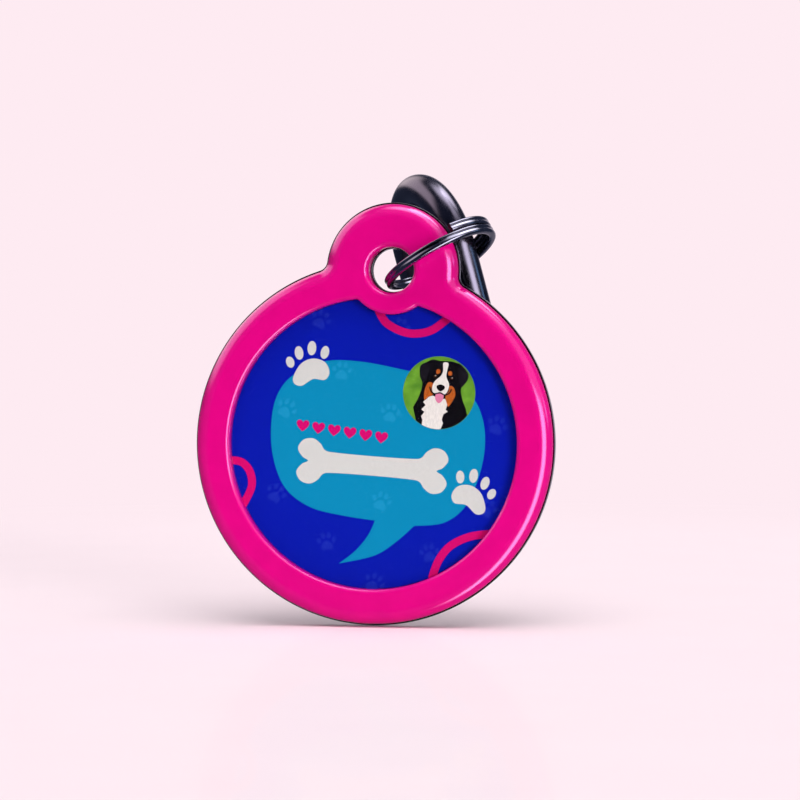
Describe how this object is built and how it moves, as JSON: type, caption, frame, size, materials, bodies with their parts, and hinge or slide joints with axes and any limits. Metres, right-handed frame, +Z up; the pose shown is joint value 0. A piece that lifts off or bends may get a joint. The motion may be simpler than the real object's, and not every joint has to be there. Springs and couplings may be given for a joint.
{
  "type": "pet id tag",
  "caption": "Round framed pet id tag with a picture insert, hung by its ear from a split ring on an oval collar ring.",
  "frame": {"origin": "centre of the oval ring's strap slot, where a collar strap passes through", "axes": "+Z up as the tag hangs, +Y to the tag's back, +X to the right seen from the tag's face"},
  "size_m": [0.032, 0.0207, 0.0403],
  "materials": {
    "plate_steel": "polished, dark",
    "pink_enamel": "glossy enamel",
    "adhesive": "thin adhesive film",
    "print": "printed, with white, cyan and magenta figures",
    "clear_cover": "clear, glossy",
    "ring_steel": "polished nickel, dark",
    "wire_steel": "polished black nickel"
  },
  "bodies": {
    "hanger": {"strap_ring": "wire_steel"},
    "ring": {"split_ring": "ring_steel"},
    "tag": {"back_plate": "plate_steel", "colour_frame": "pink_enamel", "adhesive_film": "adhesive", "print_disc": "print", "clear_cover": "clear_cover"}
  },
  "joints": [
    {"name": "ring_swing", "type": "hinge", "parent": "hanger", "child": "ring", "pos_m": [0.00084, -0.00567, 0.00596], "axis": [-0.3415, -0.1478, 0.9282], "range_deg": [-45, 110]},
    {"name": "tag_swing", "type": "hinge", "parent": "ring", "child": "tag", "pos_m": [-0.00449, -0.00863, 0.00376], "axis": [0, 1, 0], "range_deg": [-35, 120]}
  ]
}
